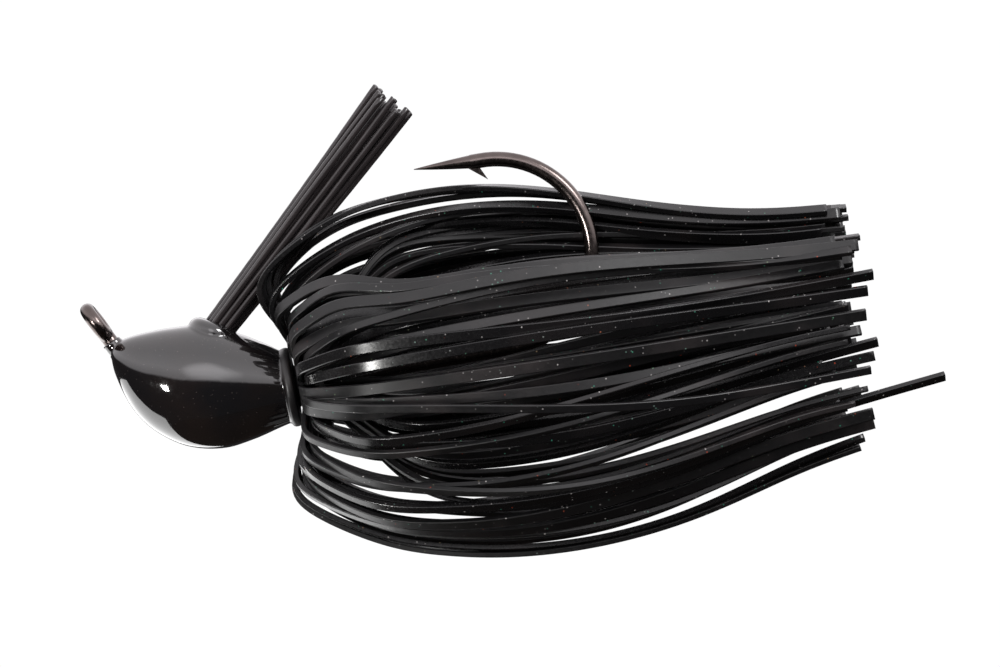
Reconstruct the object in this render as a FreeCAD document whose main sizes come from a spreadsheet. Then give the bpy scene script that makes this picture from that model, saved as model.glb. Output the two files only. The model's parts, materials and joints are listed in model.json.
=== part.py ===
import FreeCAD, Part
import Sketcher
import math
import os

# A skirted bass jig. The origin is the centre of the line-tie eye. +X runs along the
# hook shank towards the bend, +Z up towards the hook point, Y is across the hook.

V = FreeCAD.Vector
doc = FreeCAD.newDocument("jig")

# ---------------------------------------------------------------- driving dimensions
DIMENSIONS = [
    # hook
    ("wire_dia", 1.5),
    ("shank_drop", 9.72),
    ("leg_run", 4.97),
    ("knee_radius", 2.6),
    ("bend_radius", 9.5),
    ("bend_reach", 40.59),
    ("point_length", 6.7),
    ("point_lift", 0.28),
    ("point_tip_dia", 0.08),
    ("barb_length", 2.2),
    ("barb_stand", 1.25),
    ("barb_width", 0.5),
    ("eye_ring_dia", 3.1),
    ("eye_wire_dia", 1.45),
    ("eye_bore_dia", 2.0),
    # head casting
    ("nose_back", 0.80),
    ("head_length", 17.3),
    ("head_top_drop", 1.75),
    ("head_height", 12.8),
    ("head_width", 9.4),
    ("collar_dia", 6.7),
    ("boss_dia", 5.0),
    ("boss_angle", 60.0),
    ("boss_depth", 4.5),
    ("boss_edge", 0.9),
    ("lip_dia", 8.0),
    ("lip_width", 1.0),
    ("lip_lap", 0.6),
    ("lip_edge", 0.35),
    # skirt keeper, band and strands
    ("stem_dia", 4.0),
    ("keeper_bead_dia", 5.3),
    ("keeper_bead_wire", 2.4),
    ("bead_tail", 1.5),
    ("strand_width", 0.88),
    ("strand_thick", 0.6),
    ("layer_gap", 0.1),
    ("bead_gap", 0.15),
    ("band_gap", 0.12),
    ("band_wire", 1.2),
    ("collar_gap", 0.38),
    ("skirt_length", 55.1),
    ("tail_scatter", 1.4),
    ("long_tail", 5.5),
    ("skirt_girth", 1.0),
    ("fold_lean", 27.0),
    ("side_lean", -8.0),
    # weed guard
    ("guard_along", 12.5),
    ("guard_drop", 2.13),
    ("guard_angle", 42.5),
    ("guard_length", 27.6),
    ("bristle_dia", 0.62),
    ("bristle_gap", 0.02),
    ("guard_spread", 1.66),
    ("root_length", 5.4),
    ("root_gap", 0.05),
    ("mouth_gap", 0.45),
    ("mouth_depth", 0.8),
    ("swing_gap", 0.7),
]

sheet = doc.addObject("Spreadsheet::Sheet", "Sizes")
for row, (alias, value) in enumerate(DIMENSIONS, start=1):
    sheet.set("A%d" % row, alias)
    sheet.set("B%d" % row, "%g" % value)
    sheet.setAlias("B%d" % row, alias)
doc.recompute()


def size(alias):
    """The number that the sheet holds under this name."""
    return float(sheet.get(alias))


def bind(thing, path, formula):
    """Tie one property to the sheet: NAME stands for the sheet's own cell."""
    thing.setExpression(path, formula.replace("$", "Sizes."))


# ---------------------------------------------------------------- shared places
wire_r = size("wire_dia") / 2
shank_z = -size("shank_drop")
leg_length = math.hypot(size("leg_run"), size("shank_drop"))
leg_x = size("leg_run") / leg_length
leg_z = -size("shank_drop") / leg_length
leg_dir = V(leg_x, 0, leg_z)
eye_axis = V(-leg_z, 0, leg_x)

guard_tilt = math.radians(size("guard_angle"))
guard_dir = V(math.cos(guard_tilt), 0, math.sin(guard_tilt))
guard_mouth = V(size("guard_along"), 0, -size("guard_drop"))

collar_x = size("nose_back") + size("head_length")
inner_ring = size("keeper_bead_dia") / 2 + size("bead_gap") + size("strand_thick") / 2
layer_step = size("strand_thick") + size("layer_gap")
outer_ring = inner_ring + layer_step
outer_bend = size("band_wire") / 2 + size("band_gap") + size("strand_thick") / 2
inner_bend = outer_bend + layer_step
band_ring = outer_ring + outer_bend
lip_x = collar_x + size("lip_width") - size("lip_lap")
band_x = lip_x + size("collar_gap") + inner_bend + size("strand_thick") / 2


# ---------------------------------------------------------------- small helpers
def origin_plane(body, role):
    """One of a body's own three base planes."""
    for feature in body.Origin.OriginFeatures:
        if feature.Role == role:
            return feature
    raise RuntimeError("no plane " + role)


def sketch_on(body, name, role, offset=None):
    """A sketch lying on one of the body's base planes, moved along by offset."""
    sketch = body.newObject("Sketcher::SketchObject", name)
    sketch.AttachmentSupport = [(origin_plane(body, role), "")]
    sketch.MapMode = "FlatFace"
    if offset is not None:
        sketch.AttachmentOffset = offset
    return sketch


def new_body(label):
    body = doc.addObject("PartDesign::Body", label)
    body.Label = label
    return body


def flat(x, z):
    """A point of a sketch that lies on the XZ plane."""
    return V(x, z, 0)


def circle_in(sketch, centre, formula):
    """A circle whose radius follows the sheet and whose centre stays put."""
    index = sketch.addGeometry(Part.Circle(centre, V(0, 0, 1), 1.0), False)
    sketch.addConstraint(Sketcher.Constraint("DistanceX", -1, 1, index, 3, centre.x))
    sketch.addConstraint(Sketcher.Constraint("DistanceY", -1, 1, index, 3, centre.y))
    radius = sketch.addConstraint(Sketcher.Constraint("Radius", index, 1.0))
    bind(sketch, "Constraints[%d]" % radius, formula)
    return index


def closed_outline(sketch, points):
    """A closed outline of straight edges."""
    for start, end in zip(points, points[1:] + points[:1]):
        sketch.addGeometry(Part.LineSegment(start, end), False)


def rounded(corners):
    """Runs and tangent arcs through corners (x, z, radius). Each piece is a list of
    (point, direction) at its start, its middle and its end."""
    points = [V(x, z, 0) for x, z, _ in corners]
    pieces = []
    here = points[0]
    for before, corner, after, spec in zip(points, points[1:], points[2:], corners[1:]):
        heading_in = (corner - before).normalize()
        heading_out = (after - corner).normalize()
        turn = heading_in.getAngle(heading_out)
        cut = spec[2] * math.tan(turn / 2)
        start = corner - heading_in * cut
        end = corner + heading_out * cut
        inward = (heading_out - heading_in).normalize()
        centre = corner + inward * (spec[2] / math.cos(turn / 2))
        middle = centre - inward * spec[2]
        across = (heading_in + heading_out).normalize()
        pieces.append([(here, heading_in), (start, heading_in)])
        pieces.append([(start, heading_in), (middle, across), (end, heading_out)])
        here = end
    last = (points[-1] - points[-2]).normalize()
    pieces.append([(here, last), (points[-1], last)])
    return pieces


def easy_corners(points, share=0.45):
    """Corner radii that use up a share of the shorter run on each side."""
    corners = [(points[0].x, points[0].y, 0.0)]
    for before, corner, after in zip(points, points[1:], points[2:]):
        run_in = corner - before
        run_out = after - corner
        turn = max(run_in.getAngle(run_out), 1e-4)
        reach = share * min(run_in.Length, run_out.Length)
        corners.append((corner.x, corner.y, reach / math.tan(turn / 2)))
    corners.append((points[-1].x, points[-1].y, 0.0))
    return corners


def beside(place, shift):
    """A point set off to the left of its direction of travel."""
    point, heading = place
    return V(point.x - heading.y * shift, point.y + heading.x * shift, 0)


def edge_of(points):
    if len(points) == 2:
        return Part.LineSegment(points[0], points[1])
    return Part.Arc(points[0], points[1], points[2])


# ---------------------------------------------------------------- hook
def make_hook():
    body = new_body("hook")
    bend_top = shank_z + 2 * size("bend_radius")
    reach = size("bend_reach")
    stub = 1.0

    section = sketch_on(body, "wire_section", "YZ_Plane",
                        FreeCAD.Placement(V(0, bend_top, reach - stub), FreeCAD.Rotation()))
    circle_in(section, V(0, 0, 0), "$wire_dia / 2")

    spine = sketch_on(body, "wire_path", "XZ_Plane")
    bend_mid = flat(reach + size("bend_radius"), shank_z + size("bend_radius"))
    spine.addGeometry(Part.LineSegment(flat(reach - stub, bend_top), flat(reach, bend_top)), False)
    spine.addGeometry(Part.Arc(flat(reach, bend_top), bend_mid, flat(reach, shank_z)), False)
    leg_top = leg_dir * (size("eye_ring_dia") / 2)
    runs = rounded([(reach, shank_z, 0), (size("leg_run"), shank_z, size("knee_radius")),
                    (leg_top.x, leg_top.z, 0)])
    for run in runs:
        spine.addGeometry(edge_of([place[0] for place in run]), False)
    doc.recompute()
    wire = body.newObject("PartDesign::AdditivePipe", "wire")
    wire.Profile = section
    wire.Spine = spine
    doc.recompute()

    # the ground point, a long taper with a full belly
    point = sketch_on(body, "point_outline", "XZ_Plane")
    base = flat(reach, bend_top)
    tip = flat(reach - size("point_length"), bend_top + size("point_lift"))
    along = (tip - base).normalize()
    side = V(-along.y, along.x, 0)
    tip_r = size("point_tip_dia") / 2
    belly = base + along * (0.5 * size("point_length")) + side * (0.60 * wire_r)
    point.addGeometry(Part.LineSegment(base, tip), False)
    point.addGeometry(Part.LineSegment(tip, tip + side * tip_r), False)
    point.addGeometry(Part.Arc(tip + side * tip_r, belly, base + side * wire_r), False)
    point.addGeometry(Part.LineSegment(base + side * wire_r, base), False)
    taper = body.newObject("PartDesign::Revolution", "point")
    taper.Profile = point
    point.addGeometry(Part.LineSegment(base, tip), True)
    taper.ReferenceAxis = (point, ["Axis0"])
    doc.recompute()

    # the barb, a spur raised from the inner side of the point leg
    barb = sketch_on(body, "barb_outline", "XZ_Plane")
    spur_x = reach + 0.45
    spur_z = bend_top - wire_r - size("barb_stand")
    closed_outline(barb, [flat(spur_x - size("barb_length"), bend_top - 0.3 * wire_r),
                          flat(spur_x, spur_z),
                          flat(spur_x - 0.35 * size("barb_length"), bend_top - 0.5 * wire_r)])
    spur = body.newObject("PartDesign::Pad", "barb")
    spur.Profile = barb
    spur.SideType = "Symmetric"
    bind(spur, "Length", "$barb_width")
    doc.recompute()

    # the eye, a ring set crosswise, with its hole reamed true for the line
    ring = sketch_on(body, "eye_section", "XZ_Plane")
    ring_place = leg_dir * (size("eye_ring_dia") / 2)
    ring.addGeometry(Part.LineSegment(flat(0, 0), flat(eye_axis.x, eye_axis.z)), True)
    circle_in(ring, flat(ring_place.x, ring_place.z), "$eye_wire_dia / 2")
    eye = body.newObject("PartDesign::Revolution", "eye_ring")
    eye.Profile = ring
    eye.ReferenceAxis = (ring, ["Axis0"])
    doc.recompute()

    ream = sketch_on(body, "eye_ream", "XZ_Plane")
    ream.addGeometry(Part.LineSegment(flat(0, 0), flat(eye_axis.x, eye_axis.z)), True)
    half = eye_axis * size("eye_wire_dia")
    out = leg_dir * (size("eye_bore_dia") / 2)
    closed_outline(ream, [flat(-half.x, -half.z), flat(half.x, half.z),
                          flat(half.x + out.x, half.z + out.z),
                          flat(out.x - half.x, out.z - half.z)])
    bore = body.newObject("PartDesign::Groove", "eye_bore")
    bore.Profile = ream
    bore.ReferenceAxis = (ream, ["Axis0"])
    doc.recompute()
    return body


# ---------------------------------------------------------------- head casting
# stations along the head: share of its length, then the top and the bottom as shares of
# its height, and the width as a share of its width
HEAD_STATIONS = [
    (0.014, 0.080, 0.325, 0.27),
    (0.046, 0.047, 0.482, 0.45),
    (0.100, 0.020, 0.640, 0.62),
    (0.200, 0.004, 0.800, 0.80),
    (0.360, 0.000, 0.942, 0.97),
    (0.560, 0.028, 1.000, 1.00),
    (0.740, 0.130, 0.970, 0.93),
    (0.895, 0.255, 0.918, 0.81),
]
NOSE_HEIGHT_SHARE = 0.185


def head_section(index, along, top, bottom, width):
    """One upright oval of the casting."""
    oval = doc.addObject("Part::Ellipse", "head_oval_%d" % index)
    bind(oval, "MajorRadius", "$head_height * %g" % ((bottom - top) / 2))
    bind(oval, "MinorRadius", "$head_width * %g" % (width / 2))
    oval.Placement = FreeCAD.Placement(V(0, 0, 0), FreeCAD.Rotation(V(0, 0, 1), V(0, 1, 0), V(1, 0, 0), "XZY"))
    bind(oval, "Placement.Base.x", "$nose_back + $head_length * %g" % along)
    bind(oval, "Placement.Base.z", "-$head_top_drop - $head_height * %g" % ((top + bottom) / 2))
    return oval


def make_head(hook):
    nose = doc.addObject("Part::Vertex", "head_nose")
    bind(nose, "Placement.Base.x", "$nose_back")
    bind(nose, "Placement.Base.z", "-$head_top_drop - $head_height * %g" % NOSE_HEIGHT_SHARE)
    sections = [nose]
    for index, station in enumerate(HEAD_STATIONS):
        sections.append(head_section(index, *station))
    collar = head_section(len(HEAD_STATIONS), 1.0, 0.0, 1.0, 1.0)
    bind(collar, "MajorRadius", "$collar_dia / 2")
    bind(collar, "MinorRadius", "$collar_dia / 2")
    bind(collar, "Placement.Base.z", "-$shank_drop")
    sections.append(collar)
    blank = doc.addObject("Part::Loft", "head_blank")
    blank.Sections = sections
    blank.Solid = True
    blank.Ruled = False

    # the boss that holds the weed guard
    boss_dir = V(math.cos(math.radians(size("boss_angle"))), 0,
                 math.sin(math.radians(size("boss_angle"))))
    boss = doc.addObject("Part::Cylinder", "boss_blank")
    bind(boss, "Radius", "$boss_dia / 2")
    bind(boss, "Height", "$boss_depth")
    turn = FreeCAD.Rotation(V(0, 0, 1), boss_dir)
    foot = guard_mouth - boss_dir * size("boss_depth") - V(0.75, 0, 0)
    boss.Placement = FreeCAD.Placement(foot, turn)
    doc.recompute()
    soft_boss = doc.addObject("Part::Fillet", "boss")
    soft_boss.Base = boss
    rim = max(range(len(boss.Shape.Edges)),
              key=lambda i: boss.Shape.Edges[i].CenterOfMass.dot(boss_dir))
    soft_boss.Edges = [(rim + 1, size("boss_edge"), size("boss_edge"))]

    # the stem behind the head and the bead that the skirt sits on
    along_x = FreeCAD.Rotation(V(0, 0, 1), V(1, 0, 0))
    stem = doc.addObject("Part::Cylinder", "keeper_stem")
    bind(stem, "Radius", "$stem_dia / 2")
    stem.Height = band_x + size("bead_tail") - collar_x + 0.5
    stem.Placement = FreeCAD.Placement(V(collar_x - 0.5, 0, shank_z), along_x)
    lip = doc.addObject("Part::Cylinder", "lip_blank")
    bind(lip, "Radius", "$lip_dia / 2")
    bind(lip, "Height", "$lip_width")
    lip.Placement = FreeCAD.Placement(V(lip_x - size("lip_width"), 0, shank_z), along_x)
    doc.recompute()
    soft_lip = doc.addObject("Part::Fillet", "collar_lip")
    soft_lip.Base = lip
    soft_lip.Edges = [(i + 1, size("lip_edge"), size("lip_edge"))
                      for i, edge in enumerate(lip.Shape.Edges)
                      if edge.Curve.TypeId == "Part::GeomCircle"]
    bead = doc.addObject("Part::Torus", "keeper_bead")
    bind(bead, "Radius1", "($keeper_bead_dia - $keeper_bead_wire) / 2")
    bind(bead, "Radius2", "$keeper_bead_wire / 2")
    bead.Placement = FreeCAD.Placement(V(band_x, 0, shank_z), along_x)

    whole = doc.addObject("Part::MultiFuse", "head_solid")
    whole.Shapes = [blank, soft_boss, soft_lip, stem, bead]

    # the socket, with a wider mouth where the bristles swing
    down_guard = FreeCAD.Rotation(V(0, 0, 1), guard_dir)
    socket = doc.addObject("Part::Cylinder", "guard_socket")
    root_r = root_radius()
    socket.Radius = root_r + size("root_gap")
    socket.Height = size("root_length") + size("mouth_depth") + 3.0
    socket.Placement = FreeCAD.Placement(
        guard_mouth - guard_dir * (size("root_length") + size("mouth_depth") + size("root_gap")),
        down_guard)
    mouth = doc.addObject("Part::Cylinder", "guard_socket_mouth")
    mouth.Radius = root_r + size("mouth_gap")
    mouth.Height = size("mouth_depth") + 3.0
    mouth.Placement = FreeCAD.Placement(guard_mouth - guard_dir * size("mouth_depth"), down_guard)
    hole = doc.addObject("Part::MultiFuse", "guard_hole")
    hole.Shapes = [socket, mouth]
    drilled = doc.addObject("Part::Cut", "head_drilled")
    drilled.Base = whole
    drilled.Tool = hole

    casting = doc.addObject("Part::Cut", "head_casting")
    casting.Label = "head_casting"
    casting.Base = drilled
    casting.Tool = hook
    doc.recompute()
    return casting


# ---------------------------------------------------------------- weed guard
def bristle_pitch():
    return size("bristle_dia") + size("bristle_gap")


def root_radius():
    """The fused root covers the two rings of bristles around the middle one."""
    return 2 * bristle_pitch() + size("bristle_dia") / 2


def make_guard_base():
    base = doc.addObject("Part::Cylinder", "guard_base")
    base.Label = "guard_base"
    base.Radius = root_radius()
    bind(base, "Height", "$root_length")
    foot = guard_mouth - guard_dir * (size("root_length") + size("mouth_depth"))
    base.Placement = FreeCAD.Placement(foot, FreeCAD.Rotation(V(0, 0, 1), guard_dir))
    doc.recompute()
    return base


def bristle_places():
    """A middle bristle and two rings round it, as (across, sideways) offsets."""
    places = []
    for column in range(-2, 3):
        for line in range(-2, 3):
            if abs(column + line) <= 2:
                across = bristle_pitch() * (column + line / 2)
                sideways = bristle_pitch() * line * math.sqrt(3) / 2
                places.append((across, sideways))
    return places


def make_bristles():
    """Nylon bristles that stand close at the root and fan a little to the tip."""
    across_dir = V(-guard_dir.z, 0, guard_dir.x)
    start = size("swing_gap") - size("mouth_depth")
    bristles = []
    for number, (across, sideways) in enumerate(bristle_places(), start=1):
        foot_side = across_dir * across + V(0, sideways, 0)
        foot = guard_mouth + guard_dir * start + foot_side
        trim = 0.45 * math.sin(2.1 * number)
        tip = guard_mouth + guard_dir * (size("guard_length") + trim)
        tip = tip + foot_side * size("guard_spread")
        bristle = doc.addObject("Part::Cylinder", "guard_bristle_%02d" % number)
        bristle.Label = "guard_bristle_%02d" % number
        bind(bristle, "Radius", "$bristle_dia / 2")
        bristle.Height = (tip - foot).Length
        bristle.Placement = FreeCAD.Placement(foot, FreeCAD.Rotation(V(0, 0, 1), tip - foot))
        bristles.append(bristle)
    doc.recompute()
    return bristles


# ---------------------------------------------------------------- skirt
# the skirt's outline at shares of its length behind the band: its mean radius, and how
# much further it hangs below than above
SKIRT_STATIONS = [
    (0.074, 16.84, 0.46),
    (0.238, 19.16, 1.44),
    (0.437, 19.18, 2.42),
    (0.655, 16.03, 3.87),
    (0.819, 13.24, 3.66),
    (1.000, 12.10, 3.50),
]
COLUMNS = 17
COLUMN_STEP = 20.0
FIRST_COLUMN = 20.0
LOOP_CORNER = 10.8
LONG_COLUMN = 10


def skirt_radius(along, angle):
    """The skirt's outer radius at this share of its length, angle degrees round from
    the top."""
    stations = SKIRT_STATIONS
    for (xa, ma, sa), (xb, mb, sb) in zip(stations, stations[1:]):
        share = (along - xa) / (xb - xa)
        if share <= 1.0 or xb == stations[-1][0]:
            break
    share = min(max(share, 0.0), 1.0)
    mean = ma + (mb - ma) * share
    sag = sa + (sb - sa) * share
    return size("skirt_girth") * (mean - sag * math.cos(math.radians(angle)))


def strand_path(column, layer):
    """The middle line of one strand in its own half plane, from the end of its rear
    tail, under the band, round the fold and back to the end of its front tail."""
    angle = FIRST_COLUMN + COLUMN_STEP * column
    at_top = column in (0, COLUMNS - 1)
    odd = column % 2
    if layer == 1:
        nip, bend = inner_ring, inner_bend
        tail_share = 0.48 if at_top else 0.46 + 0.03 * odd
        loop_share = 1.0 - 0.07 * odd
    else:
        nip, bend = outer_ring, outer_bend
        tail_share = 0.64 if at_top else 0.63 + 0.03 * odd
        loop_share = 0.83 - 0.03 * odd
    number = 2 * column + layer
    reach = size("skirt_length") + size("tail_scatter") * math.sin(2.4 * number)
    if column == LONG_COLUMN and layer == 1:
        reach += size("long_tail")

    def place(along, share):
        radius = share * skirt_radius(along, angle)
        return V(band_x + along * size("skirt_length"), radius, 0)

    # the fold leans forward over the head above and below, and back at the two sides
    upright = math.cos(math.radians(angle)) ** 2
    lean = math.radians(size("fold_lean") * upright + size("side_lean") * (1 - upright))
    fold_x = band_x - bend * math.tan((math.pi / 2 - lean) / 2)
    loop_z = LOOP_CORNER * loop_share
    loop_x = fold_x - (loop_z - nip) * math.tan(lean)
    end = reach / size("skirt_length")
    rear = [place(end, tail_share) - V(0.6, 0, 0)]
    rear += [place(along, tail_share) for along in (0.710, 0.419, 0.165)]
    rear.append(V(band_x + 1.4, nip, 0))
    front = [V(fold_x, nip, 0), V(loop_x, loop_z, 0)]
    front += [place(station[0], loop_share) for station in SKIRT_STATIONS[:-1]]
    front.append(place(end, loop_share))
    corners = easy_corners(rear + front)
    nip_at = len(rear) - 1
    corners[nip_at] = (corners[nip_at][0], corners[nip_at][1], 2.6)
    corners[nip_at + 1] = (fold_x, nip, bend)
    return rounded(corners), angle


def make_strand(column, layer):
    """One flat silicone strand, whole: rear tail, the stretch under the band and the
    front tail that is folded back over it."""
    number = 2 * column + layer
    label = "skirt_strand_%02d" % number
    body = new_body(label)
    outline = sketch_on(body, "outline_%02d" % number, "XZ_Plane")
    pieces, angle = strand_path(column, layer)
    half = size("strand_thick") / 2
    for piece in pieces:
        outline.addGeometry(edge_of([beside(place, half) for place in piece]), False)
    for piece in reversed(pieces):
        outline.addGeometry(edge_of([beside(place, -half) for place in reversed(piece)]), False)
    for place in (pieces[0][0], pieces[-1][-1]):
        outline.addGeometry(Part.LineSegment(beside(place, half), beside(place, -half)), False)
    strand = body.newObject("PartDesign::Pad", "strand_%02d" % number)
    strand.Profile = outline
    strand.SideType = "Symmetric"
    bind(strand, "Length", "$strand_width")
    body.Placement = FreeCAD.Placement(V(0, 0, shank_z), FreeCAD.Rotation(V(1, 0, 0), -angle))
    return body


def make_band():
    """The rubber band that grips the strands on the bead."""
    body = new_body("skirt_band")
    section = sketch_on(body, "band_section", "XZ_Plane")
    section.addGeometry(Part.LineSegment(flat(0, 0), flat(1, 0)), True)
    circle_in(section, flat(band_x, band_ring), "$band_wire / 2")
    ring = body.newObject("PartDesign::Revolution", "band")
    ring.Profile = section
    ring.ReferenceAxis = (section, ["Axis0"])
    body.Placement = FreeCAD.Placement(V(0, 0, shank_z), FreeCAD.Rotation())
    doc.recompute()
    return body


# ---------------------------------------------------------------- build, check, write
def main():
    hook = make_hook()
    parts = [hook, make_head(hook), make_guard_base(), make_band()]
    parts += make_bristles()
    for column in range(COLUMNS):
        for layer in (1, 2):
            parts.append(make_strand(column, layer))
    doc.recompute()

    for thing in doc.Objects:
        if "Invalid" in thing.State or "Error" in thing.State:
            raise RuntimeError("%s did not build: %s" % (thing.Name, thing.State))
    for part in parts:
        shape = part.Shape
        if shape.isNull() or not shape.isValid() or len(shape.Solids) != 1:
            raise RuntimeError("%s is not one sound solid" % part.Label)
    os.makedirs("parts", exist_ok=True)
    for part in parts:
        part.Shape.exportStep("parts/%s.step" % part.Label)
    print("wrote", len(parts), "parts")


main()
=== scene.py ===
import json
import math
import random

import bmesh
import bpy
from bpy.props import FloatProperty, FloatVectorProperty, IntProperty, PointerProperty
from mathutils import Matrix, Quaternion, Vector


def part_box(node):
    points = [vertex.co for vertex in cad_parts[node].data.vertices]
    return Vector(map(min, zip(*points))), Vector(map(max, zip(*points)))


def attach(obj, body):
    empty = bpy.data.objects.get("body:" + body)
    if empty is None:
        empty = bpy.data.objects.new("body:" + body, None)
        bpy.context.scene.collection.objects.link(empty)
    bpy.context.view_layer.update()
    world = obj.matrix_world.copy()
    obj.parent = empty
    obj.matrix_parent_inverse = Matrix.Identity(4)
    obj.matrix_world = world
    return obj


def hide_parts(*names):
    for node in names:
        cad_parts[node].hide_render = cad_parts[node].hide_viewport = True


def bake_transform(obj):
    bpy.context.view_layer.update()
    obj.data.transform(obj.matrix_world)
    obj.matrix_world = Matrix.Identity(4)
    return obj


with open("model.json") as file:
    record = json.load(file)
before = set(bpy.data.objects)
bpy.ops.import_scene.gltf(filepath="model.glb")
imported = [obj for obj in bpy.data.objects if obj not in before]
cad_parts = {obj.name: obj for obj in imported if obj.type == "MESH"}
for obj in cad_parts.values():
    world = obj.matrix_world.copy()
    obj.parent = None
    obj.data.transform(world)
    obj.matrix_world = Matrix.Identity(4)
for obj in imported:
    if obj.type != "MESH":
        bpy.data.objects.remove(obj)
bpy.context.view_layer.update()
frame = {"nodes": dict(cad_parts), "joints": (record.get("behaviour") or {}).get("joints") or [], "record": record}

bl_info = {
    "name": "Skirted Jig Builder",
    "version": (1, 0, 0),
    "blender": (4, 5, 0),
    "location": "View3D > Sidebar > Jig",
    "description": "Finishes a skirted fishing jig around its engineering frame",
    "category": "Add Mesh",
}

MM = 0.001

# ------------------------------------------------------------------ places read from the frame
ROOT = "head_and_hook"
JOINTS = {joint["name"]: joint for joint in frame["joints"]}
BODIES = frame["record"]["behaviour"]["bodies"]
BAND_LOW, BAND_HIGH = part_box("skirt_band")
BAND_X = (BAND_LOW.x + BAND_HIGH.x) / 2
AXIS_Z = (BAND_LOW.z + BAND_HIGH.z) / 2
BAND_WIRE = BAND_HIGH.x - BAND_LOW.x
BAND_RING = (BAND_HIGH.z - BAND_LOW.z) / 2 - BAND_WIRE / 2
GUARD_MOUTH = Vector(JOINTS["guard_flex"]["pos_m"])
GUARD_TILT = math.radians(42.5)
GUARD_DIR = Vector((math.cos(GUARD_TILT), 0, math.sin(GUARD_TILT)))
ACROSS = Vector((0, 1, 0))


# ------------------------------------------------------------------ settings
class JigHookSettings(bpy.types.PropertyGroup):
    colour: FloatVectorProperty(
        name="Hook colour", description="Colour of the plated wire", subtype="COLOR",
        size=3, min=0, max=1, default=(0.13, 0.108, 0.102))
    polish: FloatProperty(
        name="Hook roughness", description="How dull the plating is", subtype="FACTOR",
        min=0, max=1, default=0.2)


class JigHeadSettings(bpy.types.PropertyGroup):
    colour: FloatVectorProperty(
        name="Paint colour", description="Colour of the head's paint", subtype="COLOR",
        size=3, min=0, max=1, default=(0.0045, 0.0042, 0.0048))
    polish: FloatProperty(
        name="Paint roughness", description="How dull the paint is", subtype="FACTOR",
        min=0, max=1, default=0.07)
    voxel: FloatProperty(
        name="Voxel", description="Grid size of the casting's blended surface",
        unit="LENGTH", min=0.00005, default=0.00011)
    rounding: IntProperty(
        name="Rounding", description="How many times the paint's edges are softened",
        min=0, default=14)


class JigGuardSettings(bpy.types.PropertyGroup):
    colour: FloatVectorProperty(
        name="Bristle colour", description="Colour of the guard's bristles", subtype="COLOR",
        size=3, min=0, max=1, default=(0.022, 0.018, 0.0185))
    wobble: FloatProperty(
        name="Bristle wobble", description="How far a bristle wanders from straight",
        unit="LENGTH", min=0, default=0.00012)


class JigSkirtSettings(bpy.types.PropertyGroup):
    colour: FloatVectorProperty(
        name="Silicone colour", description="Colour of the skirt", subtype="COLOR",
        size=3, min=0, max=1, default=(0.0042, 0.0040, 0.0044))
    width: FloatProperty(
        name="Strand width", description="Width of a strand", unit="LENGTH",
        min=0.0002, default=0.00100)
    spare: IntProperty(
        name="Strands per gap",
        description="How many more strands fill each gap between two columns",
        min=0, default=2)
    thickness: FloatProperty(
        name="Strand thickness", description="Thickness of a strand", unit="LENGTH",
        min=0.0002, default=0.00055)
    wander: FloatProperty(
        name="Wander", description="How far a tail strays sideways from its own plane",
        subtype="ANGLE", min=0, default=math.radians(10))
    loose: FloatProperty(
        name="Loose strands",
        description="Share of the strands that stray across their neighbours",
        subtype="FACTOR", min=0, max=1, default=0.3)
    twist: FloatProperty(
        name="Twist", description="How much a tail turns about itself by its end",
        subtype="ANGLE", min=0, default=math.radians(70))


class JigStageSettings(bpy.types.PropertyGroup):
    floor_colour: FloatVectorProperty(
        name="Floor colour", description="Colour of the studio floor", subtype="COLOR",
        size=3, min=0, max=1, default=(0.82, 0.82, 0.83))
    ceiling: FloatProperty(
        name="Ceiling light", description="Brightness of the soft light overhead",
        min=0, default=1.7)
    lens: FloatProperty(
        name="Lens", description="Focal length of the camera", unit="CAMERA",
        min=10, default=162)
    lean: FloatProperty(
        name="Camera lean", description="How far the camera is rolled about its line of sight",
        subtype="ANGLE", default=math.radians(10.1))


# ------------------------------------------------------------------ mesh helpers
def new_object(name, mesh, material):
    mesh.materials.append(material)
    thing = bpy.data.objects.new(name, mesh)
    bpy.context.scene.collection.objects.link(thing)
    return thing


def shade(mesh):
    mesh.polygons.foreach_set("use_smooth", [True] * len(mesh.polygons))
    mesh.update()


def mesh_from(name, vertices, faces):
    mesh = bpy.data.meshes.new(name)
    mesh.from_pydata(vertices, [], faces)
    mesh.validate()
    return mesh


def oval(x, middle, half_height, half_width, sides):
    """A ring of points across the shank, standing upright at x."""
    turns = [math.tau * side / sides for side in range(sides)]
    return [Vector((x, half_width * math.sin(turn), middle + half_height * math.cos(turn)))
            for turn in turns]


def skin(rings, cap_start=True):
    """Vertices and faces of a closed tube that runs through rings of equal length."""
    count = len(rings[0])
    vertices = [point for ring in rings for point in ring]
    faces = []
    for number in range(len(rings) - 1):
        base = number * count
        for step in range(count):
            following = (step + 1) % count
            faces.append((base + step, base + following,
                          base + count + following, base + count + step))
    if cap_start:
        faces.append(tuple(reversed(range(count))))
    last = (len(rings) - 1) * count
    faces.append(tuple(range(last, last + count)))
    return vertices, faces


def spline(points, steps):
    """Points along a uniform cubic B-spline that starts and ends on its end points."""
    points = [points[0]] * 2 + list(points) + [points[-1]] * 2
    line = []
    for a, b, c, d in zip(points, points[1:], points[2:], points[3:]):
        for step in range(steps):
            t = step / steps
            line.append(a * ((1 - t) ** 3 / 6) + b * ((3 * t ** 3 - 6 * t * t + 4) / 6)
                        + c * ((-3 * t ** 3 + 3 * t * t + 3 * t + 1) / 6) + d * (t ** 3 / 6))
    line.append(points[-1])
    return line


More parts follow.
